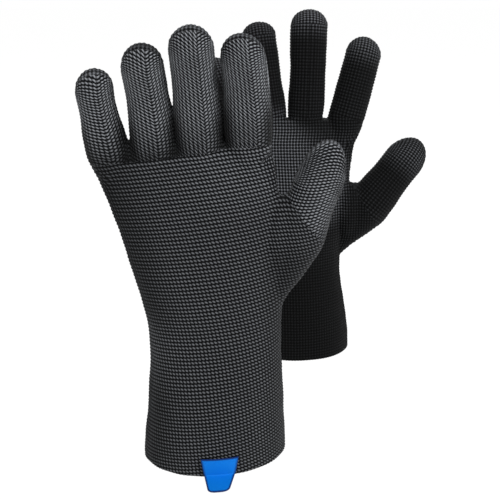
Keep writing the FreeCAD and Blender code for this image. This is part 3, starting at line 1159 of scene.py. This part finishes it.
    def part(self, form: bpy.types.Object, layer: str) -> None:
        """Part a form into its pieces, with cell coordinates and tone on each.

        Args:
            form: the whole layer, in the glove's own millimetres.
            layer: skin or lining.
        """
        layer_faces = Layer.read(form.data, coordinates(form))
        centres = layer_faces.centres()
        piece, pattern = self.sort_points(centres)
        layer_faces.cells = self.cell_coordinates(layer_faces.points[layer_faces.corners],
                                                  pattern[layer_faces.face_of()])
        layer_faces.tone = self.tone_at(layer_faces.points)
        layer_faces.turned = centres[:, 1] > 0
        panel = layer_faces.turned.astype(int)
        for number, stall in enumerate(self.stalls):
            chosen = piece == number
            _, across, deep = stall.locate(centres[chosen])
            layer_faces.turned[chosen] = deep < 0
            panel[chosen] = np.where(deep > 0, 0, 1)
            if number != THUMB:
                panel[chosen] = np.where(across > stall.seam * stall.digit.radius, 2, panel[chosen])
        for number in range(-1, len(DIGITS)):
            owner = "hand" if number < 0 else DIGITS[number].name
            if layer == "lining":
                self.take(layer_faces, piece == number, f"{owner}_lining", number)
                continue
            for which, name in enumerate(Panel):
                chosen = (piece == number) & (panel == which)
                if chosen.any():
                    self.take(layer_faces, chosen, f"{owner}_{name.value}", number)
        bpy.data.objects.remove(form)

    def take(self, layer: Layer, chosen: np.ndarray, name: str, number: int) -> None:
        """Make one piece of the chosen faces; a piece of the hand is set on the hand's body.

        Args:
            layer: the whole skin or lining.
            chosen: which of its faces belong to the piece.
            name: the piece's name without its side.
            number: the digit's number, or -1 on the hand.
        """
        faces = np.flatnonzero(chosen)
        loops = np.flatnonzero(chosen[layer.face_of()])
        used, renumbered = np.unique(layer.corners[loops], return_inverse=True)
        ends = np.cumsum(layer.counts[faces])
        spans = list(zip(ends - layer.counts[faces], ends))
        order = np.arange(len(loops))
        if self.side is Side.LEFT:
            order = np.concatenate([order[start:end][::-1] for start, end in spans])
        obj = mesh_object(f"{self.side.value}_{name}_cloth", self.to_frame(layer.points[used]),
                          [renumbered[order[start:end]].tolist() for start, end in spans])
        mesh = obj.data
        uv = mesh.uv_layers.new(name="cells")
        uv.data.foreach_set("uv", layer.cells[loops[order]].astype(np.float32).ravel())
        # tone carries each point's painted light and shade, over the back's near-black tone
        tone = mesh.attributes.new("tone", "FLOAT", "POINT")
        tone.data.foreach_set("value", layer.tone[used].astype(np.float32))
        mesh.polygons.foreach_set("use_smooth", np.ones(len(faces), bool))
        mesh.update()
        self.pieces[name] = obj
        self.turned[name] = layer.turned[faces]
        log.info("%s %s: %d faces", self.side.value, name, len(faces))
        body = f"{self.side.value}_hand"
        if number < 0:
            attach(obj, body)
        else:
            start, end = self.bend_of(number)
            tuple(self.to_frame(start[None])[0])
            tuple(self.to_frame(end[None])[0])
            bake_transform(obj)
        node_name = {"hand_palm": "palm_panel", "hand_back": "back_panel"}.get(name, name)
        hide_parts(f"{self.side.value}_{node_name}")

    def bend_of(self, number: int) -> tuple[np.ndarray, np.ndarray]:
        """Two places for a digit: where its skin starts, and one a bend's reach further on.

        Args:
            number: the digit's number.

        Returns:
            Two places in the glove's own millimetres.
        """
        stall = self.stalls[number]
        if number != THUMB:
            start = stall.joint + stall.along * stall.start
            return start, start + stall.along * self.bend_reach
        start = np.array([self.look.thumb_split[0], 0.0, self.look.thumb_split[1]])
        normal = np.array([self.look.thumb_normal[0], 0.0, self.look.thumb_normal[1]])
        return start, start + normal / np.linalg.norm(normal) * self.bend_reach

    def tone_at(self, points: np.ndarray) -> np.ndarray:
        """The painted light and shade of the fabric at points, over the back's near-black tone, as a factor on its
        colours.

        Args:
            points: places in the glove's own millimetres.

        Returns:
            The factor at each point.
        """
        shade_and_tone = self.shade_and_tone
        back = smoothstep(-shade_and_tone.side_blend, shade_and_tone.side_blend, points[:, 1])
        height = points[:, 2]
        middle, half, _ = self.section(height)
        aside = (points[:, 0] - middle) / half
        rear = shade_and_tone.back_of_hand(aside, height)
        tone = shade_and_tone.palm(aside, height) * (1 - back) + rear * back
        _, pattern = self.sort_points(points)
        for number, stall in enumerate(self.stalls):
            chosen = pattern == number
            x, above = points[chosen, 0], points[chosen, 2] - self.crease_at(points[chosen, 0])
            distance, across, deep = stall.locate(points[chosen])
            outwards = across / stall.digit.radius
            own_back = smoothstep(-shade_and_tone.side_blend, shade_and_tone.side_blend, -deep)
            if number == THUMB:
                light = shade_and_tone.thumb_front(outwards, distance)
            else:
                light = shade_and_tone.finger_front(outwards, distance, x, above)
            dark = shade_and_tone.stall_back(number, distance, stall.length - stall.pose.dome, rear[chosen])
            tone[chosen] = light * (1 - own_back) + own_back * dark
        return tone


@dataclass(frozen=True)
class TexturedNeoprene:
    """Foam rubber faced with a coarse knit: matt, with raised cells and painted shade in the holes between them.

    The cells are 2.4 mm apart, as on the gloves; one unit of the pattern is one cell. Single threads are finer
    than the render shows, so they are drawn as a coarser unevenness of the cells.
    """
    name: str
    weave: Weave
    hole: str                   # sRGB colour between the cells, near black: painted shade in the holes
    top: str                    # sRGB colour on the cells
    roughness: float = 0.72
    sheen: float = 0.03
    specular: float = 0.06
    bump: float = 0.5
    bump_height: float = 0.0004     # metres
    fray: float = 1.7               # patches of uneven thread to a cell
    fray_strength: float = 0.35
    dark_until: float = -0.36       # a cell lightens from here, where -1 is its edge and 1 its top
    light_from: float = 0.95

    def material(self) -> bpy.types.Material:
        """The finish as a material that reads the piece's own cell coordinates.

        Returns:
            The material.
        """
        made, tree = blank_material(self.name)
        cells = node(tree, "ShaderNodeUVMap", uv_map="cells")
        parts = node(tree, "ShaderNodeSeparateXYZ", {0: cells.outputs["UV"]})
        across, up = (node(tree, "ShaderNodeMath", {0: parts.outputs[axis], 1: 2 * math.pi}, operation="MULTIPLY")
                      for axis in ("X", "Y"))
        both = node(tree, "ShaderNodeMath", {0: across.outputs[0], 1: up.outputs[0]}, operation="ADD")
        total = None
        for angle, weight in ((up, self.weave.rows), (across, self.weave.columns), (both, self.weave.slanted)):
            wave = node(tree, "ShaderNodeMath", {0: angle.outputs[0]}, operation="COSINE")
            part = node(tree, "ShaderNodeMath", {0: wave.outputs[0], 1: weight}, operation="MULTIPLY")
            total = part if total is None else node(
                tree, "ShaderNodeMath", {0: total.outputs[0], 1: part.outputs[0]}, operation="ADD")
        full = self.weave.rows + self.weave.columns + self.weave.slanted
        noise = node(tree, "ShaderNodeTexNoise", {"Vector": cells.outputs["UV"], "Scale": self.fray, "Detail": 3.0})
        rough = node(tree, "ShaderNodeMapRange", {"Value": noise.outputs["Fac"], "From Min": 0.25, "From Max": 0.75,
                                                  "To Min": -self.fray_strength, "To Max": self.fray_strength})
        uneven = node(tree, "ShaderNodeMath", {0: total.outputs[0], 1: rough.outputs[0]}, operation="ADD")
        height = node(tree, "ShaderNodeMapRange",
                      {"Value": uneven.outputs[0], "From Min": self.dark_until * full,
                       "From Max": self.light_from * full}, interpolation_type="SMOOTHSTEP")
        tint = node(tree, "ShaderNodeMix", {"Factor": height.outputs[0], 6: colour(self.hole), 7: colour(self.top)},
                    data_type="RGBA")
        # tone: the painted light and shade of each point, over the back's near-black tone
        tone = node(tree, "ShaderNodeAttribute", attribute_name="tone")
        toned = node(tree, "ShaderNodeVectorMath", {0: tint.outputs[2], 1: tone.outputs["Fac"]}, operation="MULTIPLY")
        raised = node(tree, "ShaderNodeBump", {"Height": height.outputs[0], "Strength": self.bump,
                                               "Distance": self.bump_height})
        shader = node(tree, "ShaderNodeBsdfPrincipled", {"Base Color": toned.outputs[0], "Roughness": self.roughness,
                                                         "Sheen Weight": self.sheen, "Sheen Roughness": 0.5,
                                                         "Specular IOR Level": self.specular,
                                                         "Normal": raised.outputs[0]})
        node(tree, "ShaderNodeOutputMaterial", {"Surface": shader.outputs[0]})
        return made


@dataclass(frozen=True)
class Fleece:
    """Brushed knit inside the glove: black, soft and matt."""
    name: str = "brushed_fleece"
    base: str = "#1c1d1f"
    tip: str = "#34363a"
    tufts: float = 900.0        # to a metre, so each is about 1.1 mm wide
    tuft_height: float = 0.0005     # metres

    def material(self) -> bpy.types.Material:
        """The finish as a material on object coordinates.

        Returns:
            The material.
        """
        made, tree = blank_material(self.name)
        place = node(tree, "ShaderNodeTexCoord")
        noise = node(tree, "ShaderNodeTexNoise", {"Vector": place.outputs["Object"], "Scale": self.tufts,
                                                  "Detail": 4.0})
        tint = node(tree, "ShaderNodeMix", {"Factor": noise.outputs["Fac"], 6: colour(self.base), 7: colour(self.tip)},
                    data_type="RGBA")
        raised = node(tree, "ShaderNodeBump", {"Height": noise.outputs["Fac"], "Strength": 0.6,
                                               "Distance": self.tuft_height})
        shader = node(tree, "ShaderNodeBsdfPrincipled", {"Base Color": tint.outputs[2], "Roughness": 0.95,
                                                         "Sheen Weight": 0.4, "Sheen Roughness": 0.6,
                                                         "Specular IOR Level": 0.2, "Normal": raised.outputs[0]})
        node(tree, "ShaderNodeOutputMaterial", {"Surface": shader.outputs[0]})
        return made


@dataclass(frozen=True)
class WovenTape:
    """Damask label tape: close satin weave in blue with a darker heat-cut edge."""
    name: str = "woven_tape"
    thread: str = "#0080e0"
    # valley: darker blue in the grooves between the threads, painted shade
    valley: str = "#0062bc"
    edge: str = "#06255c"
    thread_pitch: float = 0.45  # millimetres; real threads lie about 0.1 mm apart and are drawn coarser, to show
    patches: float = 2.2        # slightly paler patches to a millimetre
    thread_height: float = 0.0001   # metres

    def material(self) -> bpy.types.Material:
        """The finish as a material on the tape's own length and width.

        Returns:
            The material.
        """
        made, tree = blank_material(self.name)
        tape = node(tree, "ShaderNodeUVMap", uv_map="tape")
        parts = node(tree, "ShaderNodeSeparateXYZ", {0: tape.outputs["UV"]})
        threads = node(tree, "ShaderNodeMath", {0: parts.outputs["Y"], 1: 2 * math.pi / self.thread_pitch},
                       operation="MULTIPLY")
        wave = node(tree, "ShaderNodeMath", {0: threads.outputs[0]}, operation="SINE")
        height = node(tree, "ShaderNodeMapRange", {"Value": wave.outputs[0], "From Min": -1.0, "From Max": 1.0})
        border = node(tree, "ShaderNodeAttribute", attribute_name="border")
        noise = node(tree, "ShaderNodeTexNoise", {"Vector": tape.outputs["UV"], "Scale": self.patches, "Detail": 3.0})
        mixed = node(tree, "ShaderNodeMath", {0: height.outputs[0], 1: noise.outputs["Fac"]}, operation="MULTIPLY")
        shade = node(tree, "ShaderNodeMix", {"Factor": mixed.outputs[0], 6: colour(self.valley),
                                             7: colour(self.thread)}, data_type="RGBA")
        tint = node(tree, "ShaderNodeMix", {"Factor": border.outputs["Fac"], 6: shade.outputs[2],
                                            7: colour(self.edge)}, data_type="RGBA")
        raised = node(tree, "ShaderNodeBump", {"Height": height.outputs[0], "Strength": 0.35,
                                               "Distance": self.thread_height})
        shader = node(tree, "ShaderNodeBsdfPrincipled", {"Base Color": tint.outputs[2], "Roughness": 0.6,
                                                         "Specular IOR Level": 0.12, "Normal": raised.outputs[0]})
        node(tree, "ShaderNodeOutputMaterial", {"Surface": shader.outputs[0]})
        return made


@dataclass
class Tab:
    """The woven tab: sewn to the cuff, folded at the hem and lying out on the floor."""
    glove: Glove
    top_width: float = 24.0
    end_width: float = 13.0
    rise: float = 13.0          # height of the sewn end above the hem
    reach: float = 18.0         # length of strip from the hem on
    offset: float = 4.0         # to the thumb side of the cuff's middle
    thickness: float = 0.8
    corner: float = 3.6         # radius of the rounded corners
    bend: float = 2.2           # radius of the fold at the hem
    clearance: float = 0.35     # from the cuff's raised cells
    columns: int = 24
    rows: int = 60
    border: tuple[float, float] = (0.5, 1.3)    # width of the darker edge and its fade

    def build(self) -> bpy.types.Object:
        """Lay a strip down the cuff and out over the floor.

        Returns:
            The finished tab.
        """
        glove = self.glove
        span = self.rise + self.reach
        across, along = self.columns, self.rows
        points, tape, border = [], [], []
        for row in range(along + 1):
            run = span * row / along
            half = (self.top_width - (self.top_width - self.end_width) * run / span) / 2
            to_end = span - run
            if to_end < self.corner:
                half -= self.corner - math.sqrt(self.corner ** 2 - (self.corner - to_end) ** 2)
            for column in range(across + 1):
                part = 2 * column / across - 1
                x = self.offset + part * half
                points.append(self.place(x, run))
                tape.append((part * half, run))
                edge = min(half - abs(part * half), to_end, run)
                border.append(1.0 - smoothstep(*self.border, edge))
        faces = [(r * (across + 1) + c, r * (across + 1) + c + 1, (r + 1) * (across + 1) + c + 1,
                  (r + 1) * (across + 1) + c) for r in range(along) for c in range(across)]
        if glove.side is Side.LEFT:
            faces = [tuple(reversed(face)) for face in faces]
        obj = mesh_object(f"{glove.side.value}_tab_tape", glove.to_frame(np.array(points)), faces)
        uv = obj.data.uv_layers.new(name="tape")
        corner_points = np.empty(len(obj.data.loops), int)
        obj.data.loops.foreach_get("vertex_index", corner_points)
        uv.data.foreach_set("uv", np.array(tape, np.float32)[corner_points].ravel())
        edge_tone = obj.data.attributes.new("border", "FLOAT", "POINT")
        edge_tone.data.foreach_set("value", np.array(border, np.float32))
        obj.data.polygons.foreach_set("use_smooth", np.ones(len(obj.data.polygons), bool))
        finish_with(obj, "SOLIDIFY", thickness=self.thickness * MM, offset=-1.0)
        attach(obj, f"{glove.side.value}_hand")
        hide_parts(f"{glove.side.value}_label_tab")
        return obj

    def place(self, x: float, run: float) -> tuple[float, float, float]:
        """The point of the strip's face at a run from its sewn end.

        Args:
            x: place across the cuff.
            run: length of strip from the sewn end.

        Returns:
            The place in the glove's own millimetres.
        """
        bend = self.bend
        turn_length = bend * math.pi / 2
        straight = self.rise - bend
        height = max(self.rise - run, bend) if run <= straight else bend
        middle, half, depth = (value[0] for value in self.glove.section(np.array([max(height, 0.0)])))
        share = min(1.0, abs((x - middle) / half))
        front = -(depth * math.sqrt(1 - share ** 2)) - self.thickness - self.clearance
        if run <= straight:
            return x, front, self.rise - run
        if run <= straight + turn_length:
            angle = (run - straight) / bend
            return x, front - bend * (1 - math.cos(angle)), bend - (bend - self.thickness) * math.sin(angle)
        flat = run - straight - turn_length
        return x, front - bend - flat, self.thickness


# Name, place in metres, side in metres and power in watts of each lamp
LAMPS = (
    ("key", (1.05, -1.0, 1.2), 0.8, 30.0),
    ("fill", (-0.9, -1.1, 0.8), 1.2, 5.0),
    ("top", (0.0, 0.3, 1.6), 1.2, 10.0),
)


@dataclass
class Studio:
    """Pale floor, soft lamps and the camera at the photograph's place."""
    glove: Glove
    back_off: float = 0.545         # metres from the first glove to the camera
    aside: float = 0.0235
    height: float = 0.3158
    pitch: float = 17.8             # degrees that the camera looks down
    lens: float = 64.8
    sky_light: float = 0.45
    floor_size: float = 12.0
    floor_glow: float = 1.06        # makes the floor white where the camera sees it
    floor_glow_share: float = 0.9   # the rest keeps the gloves' shadow
    aim_height: float = 0.13

    def build(self) -> None:
        """Set up the floor, lamps, world and camera."""
        self.floor()
        for name, place, size, power in LAMPS:
            self.lamp(name, place, size, power)
        world = bpy.data.worlds.new("pale_studio")
        bpy.context.scene.world = world
        world.use_nodes = True
        tree = world.node_tree
        tree.nodes.clear()
        lit = node(tree, "ShaderNodeBackground", {"Color": (1, 1, 1, 1), "Strength": self.sky_light})
        shown = node(tree, "ShaderNodeBackground", {"Color": (1, 1, 1, 1), "Strength": 1.0})
        mixed = node(tree, "ShaderNodeMixShader", {0: seen_directly(tree), 1: lit.outputs[0], 2: shown.outputs[0]})
        node(tree, "ShaderNodeOutputWorld", {"Surface": mixed.outputs[0]})
        self.camera()

    def floor(self) -> None:
        """A white floor that keeps the gloves' faint shadow."""
        bpy.ops.object.select_all(action="DESELECT")
        bpy.ops.mesh.primitive_plane_add(size=self.floor_size, location=(0, 0, 0))
        floor = bpy.context.object
        floor.name = "floor"
        made, tree = blank_material("white_sweep")
        share = node(tree, "ShaderNodeMath", {0: seen_directly(tree), 1: self.floor_glow_share}, operation="MULTIPLY")
        paint = node(tree, "ShaderNodeBsdfDiffuse", {"Color": (0.9, 0.9, 0.9, 1)})
        glow = node(tree, "ShaderNodeEmission", {"Color": (1, 1, 1, 1), "Strength": self.floor_glow})
        mixed = node(tree, "ShaderNodeMixShader", {0: share.outputs[0], 1: paint.outputs[0], 2: glow.outputs[0]})
        node(tree, "ShaderNodeOutputMaterial", {"Surface": mixed.outputs[0]})
        floor.data.materials.append(made)

    def lamp(self, name: str, place: tuple[float, float, float], size: float, power: float) -> None:
        """A square soft lamp that faces the gloves.

        Args:
            name: the lamp's name.
            place: where it hangs, in metres.
            size: its side, in metres.
            power: in watts.
        """
        light = bpy.data.lights.new(name, "AREA")
        light.size = size
        light.energy = power
        obj = bpy.data.objects.new(name, light)
        bpy.context.collection.objects.link(obj)
        obj.location = place
        aim = Vector((0.0, 0.0, self.aim_height)) - Vector(place)
        obj.rotation_euler = aim.to_track_quat("-Z", "Y").to_euler()

    def camera(self) -> None:
        """The camera, a little above the gloves and looking down at them."""
        data = bpy.data.cameras.new("camera")
        data.lens = self.lens
        data.sensor_width = 36.0
        obj = bpy.data.objects.new("camera", data)
        bpy.context.collection.objects.link(obj)
        obj.location = (self.glove.origin[0] + self.aside, self.glove.origin[1] - self.back_off, self.height)
        obj.rotation_euler = (math.radians(90 - self.pitch), 0.0, 0.0)
        bpy.context.scene.camera = obj


def dress(glove: Glove, finishes: dict[str, bpy.types.Material]) -> None:
    """Give each piece of a glove its finish.

    Args:
        glove: a glove whose pieces are made.
        finishes: the materials by name.
    """
    for name, obj in glove.pieces.items():
        if name.endswith("lining"):
            kind, slot = "fleece", "fleece"
        elif name.endswith("back"):
            kind, slot = "back", "back_skin"
        elif name.startswith("hand"):
            kind, slot = "palm", "palm_skin"
        else:
            kind, slot = "finger", "palm_skin"
        obj.data.materials.append(finishes[kind])
        if name.endswith("gusset"):
            obj.data.materials.append(finishes["back"])
            obj.data.polygons.foreach_set("material_index", glove.turned[name].astype(np.int32))


def main() -> None:
    """Build both gloves and the studio around them."""
    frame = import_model()
    bpy.context.scene.view_settings.view_transform = "Standard"
    finishes = {
        # the first colour of each neoprene is near black: painted shade in the holes between the cells
        "palm": TexturedNeoprene("charcoal_neoprene", PALM_WEAVE, "#010102", "#5c5e61").material(),
        "finger": TexturedNeoprene("charcoal_finger_neoprene", FINGER_WEAVE, "#010102", "#5c5e61").material(),
        "back": TexturedNeoprene("black_neoprene", BACK_WEAVE, "#020203", "#606266").material(),
        "fleece": Fleece().material(),
        "tape": WovenTape().material(),
    }
    gloves = [Glove(Side.RIGHT, RIGHT_HAND, RIGHT_POSES, RIGHT_LOOK, index_joint=22.8, frame=frame),
              Glove(Side.LEFT, LEFT_HAND, LEFT_POSES, LEFT_LOOK, index_joint=38.6, frame=frame)]
    for glove in gloves:
        glove.skin()
        glove.fleece()
        dress(glove, finishes)
        tab = Tab(glove).build()
        tab.data.materials.append(finishes["tape"])
    Studio(gloves[0]).build()
    log.info("pieces: %d", sum(len(glove.pieces) for glove in gloves) + len(gloves))


if __name__ == "__main__":
    main()
